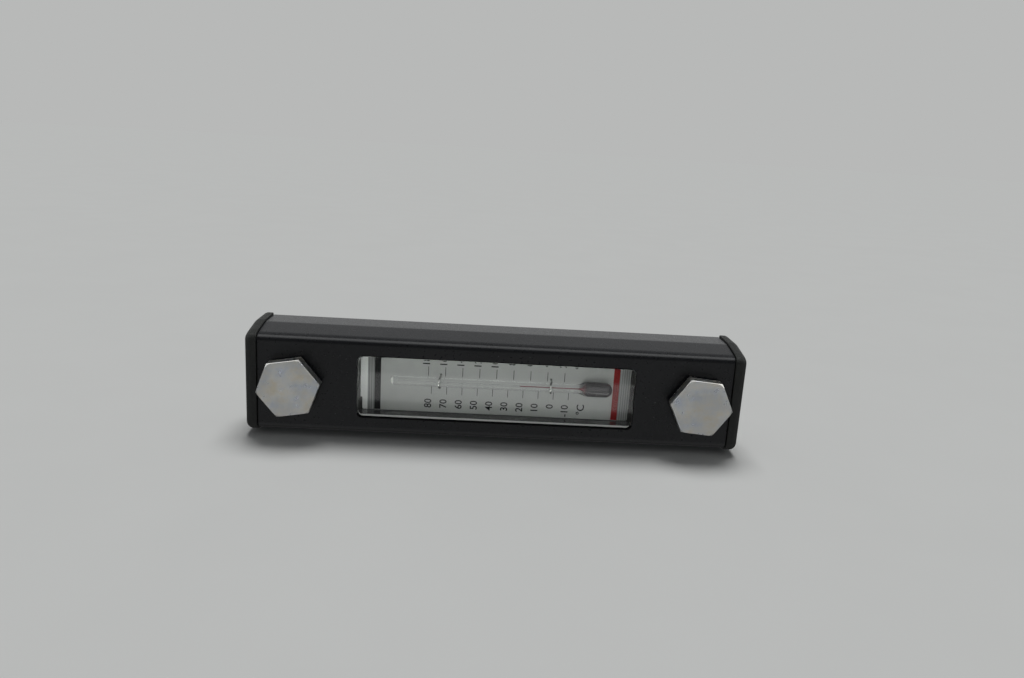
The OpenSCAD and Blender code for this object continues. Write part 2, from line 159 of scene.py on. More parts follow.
# The room as it lights matt surfaces, and as the lens sees it
DIM = (0.122, 0.123, 0.124)
PALE = (0.479, 0.485, 0.480)


# ---------------------------------------------------------------- outlines

def fillet(points, radii, steps=8, closed=True):
    """Rounds the corners of a flat outline. radii is one number, or one for each point, 0 for a sharp one."""
    count = len(points)
    if not hasattr(radii, "__len__"):
        radii = [radii] * count
    made = []
    for i, (point, radius) in enumerate(zip(points, radii)):
        ends = not closed and i in (0, count - 1)
        if radius <= 0 or ends:
            made.append(tuple(point))
            continue
        corner = Vector(point)
        a = (Vector(points[i - 1]) - corner).normalized()
        b = (Vector(points[(i + 1) % count]) - corner).normalized()
        half = math.acos(max(-1.0, min(1.0, a.dot(b)))) / 2
        centre = corner + (a + b).normalized() * radius / math.sin(half)
        start = corner + a * radius / math.tan(half) - centre
        end = corner + b * radius / math.tan(half) - centre
        first = math.atan2(start.y, start.x)
        sweep = (math.atan2(end.y, end.x) - first + 3 * math.pi) % FULL_TURN - math.pi
        for k in range(steps + 1):
            angle = first + sweep * k / steps
            made.append((centre.x + radius * math.cos(angle), centre.y + radius * math.sin(angle)))
    return made


def rectangle(u0, v0, u1, v1, radius, steps=8):
    """Outline of a rectangle with round corners."""
    return fillet([(u0, v0), (u1, v0), (u1, v1), (u0, v1)], radius, steps)


def moved_in(points, inset):
    """The corners of an open outline after each of its sides moves inward by inset."""
    sides = []
    for a, b in zip(points, points[1:]):
        along = (Vector(b) - Vector(a)).normalized()
        sides.append((Vector(a) + Vector((along.y, -along.x)) * inset, along))
    made = [sides[0][0]]
    for (p, d), (q, e) in zip(sides, sides[1:]):
        made.append(p + d * (q - p).cross(e) / d.cross(e))
    made.append(Vector((points[-1][0], -made[0].y)))
    return [tuple(point) for point in made]


def channel(inset, edge_r, bend_r, steps=10):
    """Open outline of the cover's outside as (y, z) points, moved inward by inset."""
    front = COVER_LO.y
    lean = SIDE_LEAN / (-front - BEND_Y)
    tip = COVER_HI.z - SIDE_LEAN
    shoulder_z = tip + SHOULDER_L * (lean + SHOULDER_LEAN)
    rise = [(0, COVER_HI.z), (-BEND_Y, COVER_HI.z), (front + SHOULDER_L, shoulder_z), (front, tip)]
    corners = moved_in([(y, -z) for y, z in rise] + rise[::-1], inset)
    shoulder_r = max(SHOULDER_MIN_R, SHOULDER_R - SHOULDER_FALL * max(inset, 0))
    radii = [0, bend_r, shoulder_r, edge_r]
    return fillet(corners, radii + radii[::-1], steps, closed=False)


# ---------------------------------------------------------------- meshes

def skin(bm, rings, closed=False, caps=True):
    """Skins rings of points one to the next. A ring of one point is a pole.

    closed joins the last ring to the first. Otherwise caps closes both ends.
    """
    rows = [[bm.verts.new(Vector(p) * MM) for p in ring] for ring in rings]
    pairs = list(zip(rows, rows[1:]))
    if closed:
        pairs.append((rows[-1], rows[0]))
    for a, b in pairs:
        count = max(len(a), len(b))
        for i in range(count):
            j = (i + 1) % count
            corners = [a[i % len(a)], a[j % len(a)], b[j % len(b)], b[i % len(b)]]
            bm.faces.new(list(dict.fromkeys(corners)))
    if caps and not closed:
        for row in (rows[0], rows[-1]):
            if len(row) > 1:
                bm.faces.new(row)


def bar_x(outline, xs):
    """Rings of a (y, z) outline at each x."""
    return [[(x, y, z) for y, z in outline] for x in xs]


def bar_y(outline, ys):
    """Rings of an (x, z) outline at each y."""
    return [[(x, y, z) for x, z in outline] for y in ys]


def turned_y(profile, x, columns=ROUND_COLUMNS, start=0.0):
    """Rings of a (y, radius) profile turned round the Y axis through x. A radius may depend on the angle."""
    rings = []
    for y, radius in profile:
        if radius == 0:
            rings.append([(x, y, 0)])
            continue
        ring = []
        for i in range(columns):
            angle = start + FULL_TURN * i / columns
            y_here = y(angle) if callable(y) else y
            r = radius(angle, y_here) if callable(radius) else radius
            ring.append((x + r * math.sin(angle), y_here, r * math.cos(angle)))
        rings.append(ring)
    return rings


def turned_x(profile, y, z, columns=48):
    """Rings of an (x, radius) profile turned round the X axis through y and z."""
    rings = []
    for x, radius in profile:
        if radius == 0:
            rings.append([(x, y, z)])
            continue
        turns = [FULL_TURN * i / columns for i in range(columns)]
        rings.append([(x, y + radius * math.cos(a), z + radius * math.sin(a)) for a in turns])
    return rings


def solid(*groups):
    """A bmesh of one closed shell for each group of rings, normals outward."""
    bm = bmesh.new()
    for rings in groups:
        skin(bm, rings)
    bmesh.ops.recalc_face_normals(bm, faces=bm.faces)
    return bm


def looped(rings):
    """A bmesh whose last ring joins its first, normals outward."""
    bm = bmesh.new()
    skin(bm, rings, closed=True)
    bmesh.ops.recalc_face_normals(bm, faces=bm.faces)
    return bm


def to_object(name, bm):
    """A new object in the scene from a bmesh, which is used up."""
    mesh = bpy.data.meshes.new(name)
    bm.to_mesh(mesh)
    bm.free()
    made = bpy.data.objects.new(name, mesh)
    bpy.context.scene.collection.objects.link(made)
    return made


def settle(obj):
    """Replaces an object's mesh by what its modifiers make of it."""
    graph = bpy.context.evaluated_depsgraph_get()
    mesh = bpy.data.meshes.new_from_object(obj.evaluated_get(graph))
    obj.modifiers.clear()
    old = obj.data
    obj.data = mesh
    mesh.name = obj.name
    bpy.data.meshes.remove(old)


def combine(obj, operation, bm):
    """Cuts a solid from obj, or joins it to obj."""
    tool = to_object(obj.name + "_tool", bm)
    step = obj.modifiers.new("combine", "BOOLEAN")
    step.operation = operation
    step.solver = "EXACT"
    step.object = tool
    settle(obj)
    old = tool.data
    bpy.data.objects.remove(tool)
    bpy.data.meshes.remove(old)


def soften(obj, width, segments=2, angle=35):
    """Rounds the sharp edges of obj."""
    step = obj.modifiers.new("soften", "BEVEL")
    step.width = width * MM
    step.segments = segments
    step.limit_method = "ANGLE"
    step.angle_limit = math.radians(angle)
    step.miter_outer = "MITER_ARC"
    settle(obj)


def dress(obj, material, body, nodes=(), angle=35):
    """Gives obj its material, shading and body, and hides the CAD nodes that it stands for."""
    obj.data.materials.clear()
    obj.data.materials.append(material)
    obj.data.shade_smooth()
    obj.data.set_sharp_from_angle(angle=math.radians(angle))
    step = obj.modifiers.new("normals", "WEIGHTED_NORMAL")
    step.keep_sharp = True
    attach(obj, body)
    if nodes:
        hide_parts(*nodes)
    return obj


# ---------------------------------------------------------------- materials

class Paint:
    """A node material with one Principled shader, and short ways to add nodes to it."""

    def __init__(self, name, **uniform):
        self.material = bpy.data.materials.new(name)
        self.material.use_nodes = True
        self.tree = self.material.node_tree
        self.shader = self.tree.nodes["Principled BSDF"]
        self.output = self.tree.nodes["Material Output"]
        for key, value in uniform.items():
            self.shader.inputs[key.replace("_", " ")].default_value = value
        self.where = self.node("ShaderNodeTexCoord").outputs["Object"]

    def node(self, kind, settings=None, **inputs):
        """A new node with its settings made and its inputs fed."""
        made = self.tree.nodes.new(kind)
        for key, value in (settings or {}).items():
            setattr(made, key, value)
        for key, value in inputs.items():
            self.feed(made.inputs[key.replace("_", " ")], value)
        return made

    def feed(self, socket, value):
        """Links a node's output to a socket, or sets the socket's own value."""
        if isinstance(value, bpy.types.NodeSocket):
            self.tree.links.new(value, socket)
        else:
            socket.default_value = value

    def noise(self, scale, detail=3.0, rough=0.5, where=None):
        """Cloudy noise around 0.5. scale is in clouds per metre."""
        made = self.node("ShaderNodeTexNoise", Vector=where or self.where, Scale=scale, Detail=detail,
                         Roughness=rough)
        return made.outputs["Fac"]

    def stretched(self, scale):
        """Coordinates stretched by a factor along each axis."""
        return self.node("ShaderNodeMapping", Vector=self.where, Scale=scale).outputs["Vector"]

    def ramp(self, value, stops, mode="LINEAR"):
        """A colour or grey for each value. stops are (value, grey or colour)."""
        made = self.node("ShaderNodeValToRGB", Fac=value)
        made.color_ramp.interpolation = mode
        points = made.color_ramp.elements
        while len(points) < len(stops):
            points.new(0.5)
        for point, (at, colour) in zip(points, stops):
            point.position = at
            point.color = (*colour, 1) if hasattr(colour, "__len__") else (colour, colour, colour, 1)
        return made.outputs["Color"]

    def span(self, value, low, high, out_low=0.0, out_high=1.0):
        """Maps value from low..high to out_low..out_high."""
        made = self.node("ShaderNodeMapRange", Value=value, From_Min=low, From_Max=high, To_Min=out_low,
                         To_Max=out_high)
        return made.outputs["Result"]

    def math(self, operation, a, b=0.0):
        """The result of one operation on a and b."""
        made = self.node("ShaderNodeMath", {"operation": operation})
        self.feed(made.inputs[0], a)
        self.feed(made.inputs[1], b)
        return made.outputs[0]

    def axis(self, name):
        """One coordinate, in metres."""
        return self.node("ShaderNodeSeparateXYZ", Vector=self.where).outputs[name]

    def mix(self, factor, a, b):
        """Colour a where factor is 0, and b where it is 1."""
        made = self.node("ShaderNodeMix", {"data_type": "RGBA"})
        self.feed(made.inputs[0], factor)
        self.feed(made.inputs[6], a if isinstance(a, bpy.types.NodeSocket) else (*a, 1))
        self.feed(made.inputs[7], b if isinstance(b, bpy.types.NodeSocket) else (*b, 1))
        return made.outputs[2]

    def colour(self, value):
        """Feeds the base colour."""
        self.feed(self.shader.inputs["Base Color"], value)

    def roughness(self, value):
        """Feeds the roughness."""
        self.feed(self.shader.inputs["Roughness"], value)

    def bump(self, height, distance, strength=1.0):
        """Adds bump of a height map of the given depth in millimetres, over what is there."""
        made = self.node("ShaderNodeBump", Height=height, Distance=distance * MM, Strength=strength)
        socket = self.shader.inputs["Normal"]
        if socket.is_linked:
            self.tree.links.new(socket.links[0].from_socket, made.inputs["Normal"])
        self.feed(socket, made.outputs["Normal"])

    def specks(self, cells_per_metre, radius, share):
        """1 on sparse round dots, 0 elsewhere. radius is a part of a cell, share how many cells have one."""
        cells = self.node("ShaderNodeTexVoronoi", Vector=self.where, Scale=cells_per_metre)
        near = self.math("LESS_THAN", cells.outputs["Distance"], radius)
        pick = self.node("ShaderNodeSeparateColor", Color=cells.outputs["Color"]).outputs["Red"]
        return self.math("MULTIPLY", near, self.math("LESS_THAN", pick, share))


def powder_coat():
    """Black satin powder coat: fine orange peel, sparse pale dust in it."""
    p = Paint("powder_coat", Roughness=0.3, Specular_IOR_Level=0.42)
    dust = p.specks(620, 0.11, 0.10)
    tone = p.ramp(p.noise(60, 4), [(0.35, (0.0085, 0.0094, 0.0115)), (0.7, (0.0125, 0.0134, 0.0158))])
    p.colour(p.mix(dust, tone, (0.06, 0.065, 0.065)))
    p.roughness(p.span(p.noise(900, 3), 0.3, 0.7, 0.26, 0.34))
    p.bump(p.noise(1500, 3, 0.55), 0.010)
    return p.material


def bare_inside():
    """The thin dry coat inside the cover."""
    p = Paint("bare_inside", Specular_IOR_Level=0.05)
    p.colour(p.ramp(p.noise(120, 4), [(0.3, (0.010, 0.010, 0.011)), (0.7, (0.016, 0.016, 0.017))]))
    p.roughness(p.span(p.noise(900, 3), 0.3, 0.7, 0.80, 0.95))
    p.bump(p.noise(1800, 3), 0.02)
    return p.material


def moulded_black():
    """Black moulded nylon with a fine spark-eroded grain."""
    p = Paint("moulded_black", Specular_IOR_Level=0.40)
    p.colour(p.ramp(p.noise(90, 4), [(0.3, (0.0115, 0.0125, 0.0115)), (0.7, (0.0185, 0.020, 0.0185))]))
    p.roughness(p.span(p.noise(1500, 2), 0.3, 0.7, 0.50, 0.66))
    p.bump(p.noise(2600, 4, 0.6), 0.035)
    return p.material


def rubber():
    """Black nitrile rubber."""
    p = Paint("rubber", Specular_IOR_Level=0.35)
    p.colour(p.ramp(p.noise(700, 3), [(0.3, 0.008), (0.7, 0.014)]))
    p.roughness(p.span(p.noise(500, 3), 0.3, 0.7, 0.55, 0.75))
    p.bump(p.noise(3000, 2), 0.01)
    return p.material


def zinc():
    """Passivated zinc on steel: pale, with faint straw and blue clouds."""
    p = Paint("zinc", Metallic=1.0)
    clouds = p.noise(210, 5, 0.6)
    tint = p.ramp(clouds, [(0.30, (0.70, 0.75, 0.83)), (0.44, (0.80, 0.82, 0.82)), (0.56, (0.85, 0.84, 0.79)),
                           (0.70, (0.85, 0.80, 0.68))])
    stain = p.ramp(p.noise(95, 4, 0.6), [(0.42, 0.86), (0.62, 1.0)])
    shade = p.node("ShaderNodeMix", {"data_type": "RGBA", "blend_type": "MULTIPLY"})
    shade.inputs[0].default_value = 1.0
    p.feed(shade.inputs[6], tint)
    p.feed(shade.inputs[7], stain)
    pits = p.specks(900, 0.08, 0.02)
    p.colour(p.mix(pits, shade.outputs[2], (0.20, 0.19, 0.19)))
    p.roughness(p.span(p.noise(420, 4), 0.3, 0.7, 0.26, 0.38))
    p.bump(p.noise(240, 4), 0.05)
    p.bump(p.noise(1400, 3, where=p.stretched((1, 1, 0.25))), 0.012)
    return p.material


def bright_wire():
    """Drawn stainless wire."""
    p = Paint("bright_wire", Metallic=1.0)
    p.colour(p.ramp(p.noise(900, 2), [(0.3, (0.28, 0.28, 0.27)), (0.7, (0.40, 0.40, 0.39))]))
    p.roughness(p.span(p.noise(2500, 2), 0.3, 0.7, 0.08, 0.18))
    return p.material


def let_lamps_through(p, surface):
    """Lamps shine through the clear surface onto what is behind it."""
    clear = p.node("ShaderNodeBsdfTransparent")
    ray = p.node("ShaderNodeLightPath").outputs["Is Shadow Ray"]
    either = p.node("ShaderNodeMixShader")
    p.feed(either.inputs[0], ray)
    p.tree.links.new(surface, either.inputs[1])
    p.tree.links.new(clear.outputs[0], either.inputs[2])
    p.tree.links.new(either.outputs[0], p.output.inputs["Surface"])


def clear_plastic():
    """Clear moulded nylon, a little green in its depth. From inside, its faces only let light out."""
    p = Paint("clear_plastic", Transmission_Weight=1.0, IOR=1.5, Roughness=0.0)
    tint = p.ramp(p.noise(90, 2), [(0.3, (0.970, 0.980, 0.966)), (0.7, (0.980, 0.988, 0.976))])
    p.colour(tint)
    outward = p.node("ShaderNodeBsdfRefraction", Color=tint, Roughness=0.0, IOR=1.5)
    either = p.node("ShaderNodeMixShader")
    p.feed(either.inputs[0], p.node("ShaderNodeNewGeometry").outputs["Backfacing"])
    p.tree.links.new(p.shader.outputs[0], either.inputs[1])
    p.tree.links.new(outward.outputs[0], either.inputs[2])
    let_lamps_through(p, either.outputs[0])
    return p.material


def frosted_clear():
    """Near-white, matt and nearly opaque stock as a painted highlight on the pane's lower rim and on the
    sealed end of the stem.
    """
    p = Paint("frosted_clear", Transmission_Weight=0.1, IOR=1.5)
    p.colour(p.ramp(p.noise(700, 3), [(0.3, (0.88, 0.90, 0.87)), (0.7, (0.95, 0.96, 0.94))]))
    p.roughness(p.span(p.noise(900, 2), 0.3, 0.7, 0.35, 0.50))
    return p.material


def thermometer_glass():
    """Clear glass."""
    p = Paint("thermometer_glass", Transmission_Weight=1.0, IOR=1.28, Roughness=0.0)
    p.colour(p.ramp(p.noise(150, 2), [(0.3, (0.975, 0.980, 0.980)), (0.7, (0.990, 0.993, 0.993))]))
    let_lamps_through(p, p.shader.outputs[0])
    return p.material


def plate_white():
    """White plate with a bare white end. Its grey field between its lines and the grey under its fine ruled
    margins are painted shade; the ruled lines are print.
    """
    p = Paint("plate_white", Specular_IOR_Level=0.3)
    x = p.axis("X")
    ruled = p.node("ShaderNodeTexWave", {"wave_type": "BANDS", "bands_direction": "X"}, Vector=p.where,
                   Scale=430.0).outputs["Fac"]
    # The margins' grey is painted shade; their fine ruled lines are print.
    ruled_margin_with_shade = p.mix(p.ramp(ruled, [(0.35, 0.0), (0.65, 1.0)]), (0.20, 0.205, 0.205), (0.31, 0.315, 0.315))
    # The grey field between the lines is painted shade on the white plate.
    shade_grey_field = p.ramp(p.noise(300, 3), [(0.3, (0.370, 0.378, 0.372)), (0.7, (0.395, 0.403, 0.397))])
    inside = p.math("MULTIPLY", p.math("GREATER_THAN", x, MAX_LINE[0] * MM),
                    p.math("LESS_THAN", x, MIN_LINE[1] * MM))
    bare = p.math("LESS_THAN", x, BARE_END_X * MM)
    p.colour(p.mix(bare, p.mix(inside, ruled_margin_with_shade, shade_grey_field), (0.93, 0.94, 0.94)))
    p.roughness(p.span(p.noise(900, 2), 0.3, 0.7, 0.45, 0.6))
    p.bump(p.noise(2000, 2), 0.004)
    return p.material


def ink(name, dark, light, rough=0.5):
    """Printing ink with slight unevenness."""
    p = Paint(name, Specular_IOR_Level=0.1)
    p.colour(p.ramp(p.noise(1200, 3), [(0.3, dark), (0.7, light)]))
    p.roughness(p.span(p.noise(1500, 2), 0.3, 0.7, rough - 0.08, rough + 0.08))
    return p.material


def bulb_spirit():
    """Dark liquid in the bulb, red toward its neck."""
    p = Paint("bulb_spirit", Roughness=0.4, Specular_IOR_Level=0.2)
    along = p.span(p.axis("X"), RED_NECK[0] * MM, RED_NECK[1] * MM)
    dark = p.ramp(p.noise(400, 3), [(0.3, (0.008, 0.006, 0.009)), (0.7, (0.014, 0.011, 0.015))])
    p.colour(p.mix(along, (0.16, 0.012, 0.020), dark))
    return p.material


def red_spirit():
    """Red dyed spirit."""
    p = Paint("red_spirit", Roughness=0.3)
    p.colour(p.ramp(p.noise(900, 2), [(0.3, (0.11, 0.008, 0.016)), (0.7, (0.16, 0.012, 0.022))]))
    return p.material


# ---------------------------------------------------------------- pieces

def make_cover(material, inner_material):
    """The folded sheet with its window and bolt holes, thinly coated on its inside."""
    outside = channel(0, EDGE_R, BEND_R)
    inside = channel(SHEET, EDGE_R - SHEET, BEND_R - SHEET)
    length = COVER_HI.x - JOINT_SHIFT
    cover = to_object("gauge_cover", solid(bar_x(outside + inside[::-1], (-length, length))))
    past = 3
    through = (COVER_LO.y - past, COVER_LO.y + SHEET + past)
    opening = rectangle(-WINDOW_HALF_L, -WINDOW_HALF_W, WINDOW_HALF_L, WINDOW_HALF_W, WINDOW_R)
    combine(cover, "DIFFERENCE", solid(bar_y(opening, through)))
    for _, side in SIDES:
        hole = [(y, COVER_HOLE_R) for y in through]
        combine(cover, "DIFFERENCE", solid(turned_y(hole, side * BOLT_X)))
    soften(cover, COVER_SOFT, segments=3)
    dress(cover, material, "root", ["cover"])
    cover.data.materials.append(inner_material)
    turned_in, hem_y = 0.3, -0.5
    for face in cover.data.polygons:
        toward_middle = -math.copysign(face.normal.z, face.normal.z * face.center.z)
        inward = toward_middle > turned_in or face.normal.y > turned_in
        if inward and face.center.y / MM < hem_y:
            face.material_index = 1


def make_end_cap(side_name, side, material):
    """A solid end plate with a rounded outer face, and a lip that goes inside the cover."""
    face_x, outer_x = COVER_HI.x - JOINT_SHIFT + LIP_GAP, CAP_HI.x
    stations = [(face_x, CAP_SOFT), (face_x + CAP_SOFT * 0.3, CAP_SOFT * 0.3), (face_x + CAP_SOFT, 0)]
    steps = 8
    for i in range(steps + 1):
        angle = math.pi / 2 * i / steps
        stations.append((outer_x - CAP_R * (1 - math.sin(angle)), CAP_R * (1 - math.cos(angle))))
    rings = []
    for x, inset in stations:
        outline = channel(inset - CAP_PROUD, EDGE_R + CAP_PROUD - min(inset, EDGE_R), BEND_R)
        rings.append([(side * x, y, z) for y, z in outline])
    cap = to_object("cap_" + side_name, solid(rings))
    lip_in, lip_root = SHEET + LIP_GAP, 0.5
    lip_edge = channel(lip_in, EDGE_R - lip_in, BEND_R - lip_in)
    lip_hole = channel(lip_in + LIP_T, edge_r=0.3, bend_r=3.0)
    lip = solid(bar_x(lip_edge + lip_hole[::-1], (side * CAP_LO.x, side * (face_x + lip_root))))
    combine(cap, "UNION", lip)
    soften(cap, CAP_EDGE, angle=50)
    dress(cap, material, "root", ["end_cap_" + side_name])


def make_sight_tube(material, rim_highlight_paint):
    """The clear tube, its pane raised into the window with a rounder lower rim that is painted near-white as
    a painted highlight.
    """
    width, past = TUBE_HI.z, 5
    shell = rectangle(TUBE_FRONT_Y, -width, TUBE_HI.y, width, TUBE_R, 12)
    tube = to_object("clear_tube", solid(bar_x(shell, (TUBE_LO.x, TUBE_HI.x))))
    pane = []
    steps = 6
    for i in range(steps + 1):
        angle = math.pi / 2 * i / steps
        inset = PANE_RIM * (1 - math.sin(angle)) + PANE_GAP
        low_inset = LOWER_RIM * (1 - math.sin(angle)) + PANE_GAP
        y = TUBE_LO.y + LOWER_RIM * (1 - math.cos(angle))
        outline = rectangle(-WINDOW_HALF_L + inset, -WINDOW_HALF_W + low_inset, WINDOW_HALF_L - inset,
                            WINDOW_HALF_W - inset, WINDOW_R + PANE_EXTRA_R - inset, 10)
        pane.append([(x, y, z) for x, z in outline])
    pane.append([(x, TUBE_FRONT_Y + TUBE_T / 2, z) for x, _, z in pane[-1]])
    combine(tube, "UNION", solid(pane))
    front, back, half = TUBE_FRONT_Y + TUBE_T, TUBE_HI.y - TUBE_T, width - TUBE_T
    bore = rectangle(front, -half, back, half, TUBE_R - TUBE_T, 10)
    combine(tube, "DIFFERENCE", solid(bar_x(bore, (TUBE_LO.x - past, TUBE_HI.x + past))))
    dress(tube, material, "root", ["sight_tube"], angle=30)
    # The lower rim's faces take the near-white paint as a painted highlight; the upper rim stays clear.
    tube.data.materials.append(rim_highlight_paint)
    flat = 0.001
    for face in tube.data.polygons:
        on_highlight_rim = TUBE_LO.y + flat < face.center.y / MM < TUBE_LO.y + LOWER_RIM
        if on_highlight_rim and face.center.z / MM < LOWER_RIM - WINDOW_HALF_W + PANE_GAP:
            face.material_index = 1


def hex_radius(angle, start):
    """Distance from the middle to the edge of the hexagon in a direction, its first corner at start."""
    sector = math.pi / 3
    from_flat = (angle - start) % sector - sector / 2
    return ACROSS_FLATS / 2 / math.cos(from_flat)


def hex_face(y, inward, chamfer, start):
    """Two rings of a chamfered hexagon's end: its flat face's edge and the chamfer's foot.

    inward is +1 or -1, the side of the face along Y that the hexagon is on.
    """
    face_r = ACROSS_FLATS / 2 / math.cos(math.pi / 6) - chamfer

    def edge(angle, _):
        return min(hex_radius(angle, start) - HEX_EDGE, face_r)

    def foot_y(angle):
        over = max(hex_radius(angle, start) - face_r, 0) * CHAMFER_SLOPE
        return y + inward * (HEX_EDGE + over)

    return [(y, edge), (foot_y, lambda angle, _: hex_radius(angle, start))]


def thread_radius(angle, y):
    """Radius of the bolt's thread, right-handed about +Y."""
    phase = (y / THREAD_PITCH - angle / FULL_TURN) % 1
    slope = (abs(phase - 0.5) * 2 - THREAD_FLAT) / (1 - 2 * THREAD_FLAT)
    depth = THREAD_DEPTH * max(0.0, min(1.0, slope))
    runout = max(0.0, min(1.0, (y - THREAD_START_Y) / THREAD_PITCH))
    tip = SHANK_R - max(0.0, y - (BOLT_HI.y - TIP_CHAMFER))
    return min(SHANK_R - depth * runout, tip)


def make_bolt(side_name, side, material):
    """A hollow bolt: chamfered hexagon head, plain shank, then a thread to the open tip."""
    start = math.pi / 2 - math.radians(HEAD_TURN[side_name])
    head_y = BOLT_LO.y
    under_y = head_y + HEAD_H
    profile = [(head_y, 0)] + [(head_y, r) for r in HEAD_FACE_RINGS]
    profile += hex_face(head_y, 1, HEAD_CHAMFER, start)
    profile += [(under_y - HEX_EDGE, lambda a, _: hex_radius(a, start)),
                (under_y, lambda a, _: hex_radius(a, start) - HEX_EDGE),
                (under_y, SHANK_R + UNDER_HEAD), (under_y + UNDER_HEAD, SHANK_R),
                (THREAD_START_Y, SHANK_R)]
    rows = round((BOLT_HI.y - THREAD_START_Y) * ROWS_PER_PITCH / THREAD_PITCH)
    for i in range(1, rows + 1):
        profile.append((THREAD_START_Y + (BOLT_HI.y - THREAD_START_Y) * i / rows, thread_radius))
    profile += [(BOLT_HI.y, OIL_BORE_R + BORE_EDGE), (BOLT_HI.y - BORE_EDGE, OIL_BORE_R),
                (OIL_BORE_END_Y, OIL_BORE_R), (OIL_BORE_END_Y, 0)]
    bolt = to_object("hollow_bolt_" + side_name, solid(turned_y(profile, side * BOLT_X, HEX_COLUMNS, start)))
    dress(bolt, material, "bolt_" + side_name, ["banjo_bolt_" + side_name])


def make_nut(side_name, side, material):
    """A nut chamfered on both faces, its bore sunk a little at both ends."""
    start = math.pi / 2
    front, back = NUT_LO.y, NUT_HI.y
    sink_r = NUT_BORE_R + NUT_SINK
    profile = [(front, sink_r)] + hex_face(front, 1, NUT_CHAMFER, start)
    profile += hex_face(back, -1, NUT_CHAMFER, start)[::-1]
    profile += [(back, sink_r), (back - NUT_SINK, NUT_BORE_R), (front + NUT_SINK, NUT_BORE_R)]
    nut = to_object("hex_nut_" + side_name, looped(turned_y(profile, side * BOLT_X, HEX_COLUMNS, start)))
    dress(nut, material, "nut_" + side_name, ["nut_" + side_name])


def make_ring(name, node, side, inner_r, edge, material, body):
    """A flat ring with rounded edges, such as a washer, in the place of a CAD node."""
    low, high = span(node)
    outer_r = (high.z - low.z) / 2
    outline = fillet([(low.y, inner_r), (low.y, outer_r), (high.y, outer_r), (high.y, inner_r)], edge, 4)
    ring = to_object(name, looped(turned_y(outline, side * BOLT_X)))
    dress(ring, material, body, [node])


def make_scale_plate(material):
    """The plate with a tab at each end and two holes for the legs of each clip."""
    half_l, half_w = PLATE_HI.x - TAB_L, PLATE_HI.z
    left_l = half_l - LEFT_TRIM
    tab = TAB_W / 2
    corners = [(-left_l, -half_w), (half_l, -half_w), (half_l, -tab), (PLATE_HI.x, -tab), (PLATE_HI.x, tab),
               (half_l, tab), (half_l, half_w), (-left_l, half_w), (-left_l, tab), (PLATE_LO.x, tab),
               (PLATE_LO.x, -tab), (-left_l, -tab)]
    corner_r, inner_r = 0.5, 0.2
    radii = [corner_r, corner_r, inner_r, corner_r, corner_r, inner_r] * 2
    plate = to_object("scale_plate_face", solid(bar_y(fillet(corners, radii, 4), (PLATE_LO.y, PLATE_HI.y))))
    past = 1
    for x in CLIP_XS.values():
        for z in (STEM_Z - CLIP_R, STEM_Z + CLIP_R):
            outline = rectangle(x - LEG_HOLE, z - LEG_HOLE, x + LEG_HOLE, z + LEG_HOLE, LEG_HOLE - 0.01, 5)
            combine(plate, "DIFFERENCE", solid(bar_y(outline, (PLATE_LO.y - past, PLATE_HI.y + past))))
    soften(plate, PLATE_SOFT, segments=1)
    dress(plate, material, "root", ["scale_plate"])


def ink_block(bm, x0, z0, x1, z1, radius=0.03):
    """A printed patch on the plate."""
    skin(bm, bar_y(rectangle(x0, z0, x1, z1, radius, 2), (PLATE_LO.y - INK, PLATE_LO.y - INK_GAP)))


def print_text(bm, text, x, z, height, squeeze, from_right):
    """Prints text that reads along +Z with its top toward -X, its middle at x and one end at z."""
    curve = bpy.data.curves.new("print", "FONT")
    curve.body = text
    curve.size = 1.0
    curve.extrude = 0.5
    curve.resolution_u = 4
    curve.offset = 0.012
    holder = bpy.data.objects.new("print", curve)
    bpy.context.scene.collection.objects.link(holder)
    bpy.context.view_layer.update()
    graph = bpy.context.evaluated_depsgraph_get()
    mesh = bpy.data.meshes.new_from_object(holder.evaluated_get(graph))
    us = [v.co.x for v in mesh.vertices]
    vs = [v.co.y for v in mesh.vertices]
    scale = height / (max(vs) - min(vs))
    middle = (max(vs) + min(vs)) / 2
    anchor = max(us) if from_right else min(us)
    for v in mesh.vertices:
        u, w, t = v.co
        y = PLATE_LO.y - INK * (t + 0.5) - INK_GAP
        v.co = Vector((x - (w - middle) * scale, y, z + (u - anchor) * scale * squeeze)) * MM
    bm.from_mesh(mesh)
    bpy.data.objects.remove(holder)
    bpy.data.curves.remove(curve)
    bpy.data.meshes.remove(mesh)


def celsius_x(degrees):
    """Where a temperature lies along the plate."""
    return CELSIUS_0_X - DEGREE * degrees


def print_scale(marks, places, mark, shift, number_z, from_right):
    """Prints a mark and a number for each (label, place along X). number_z gives a label's end or start."""
    for label, x in places:
        ink_block(marks, x - MARK_W / 2, mark[0], x + MARK_W / 2, mark[1])
        print_text(marks, label, x + shift, number_z(label), NUMBER_H, NUMBER_SQUEEZE, from_right)


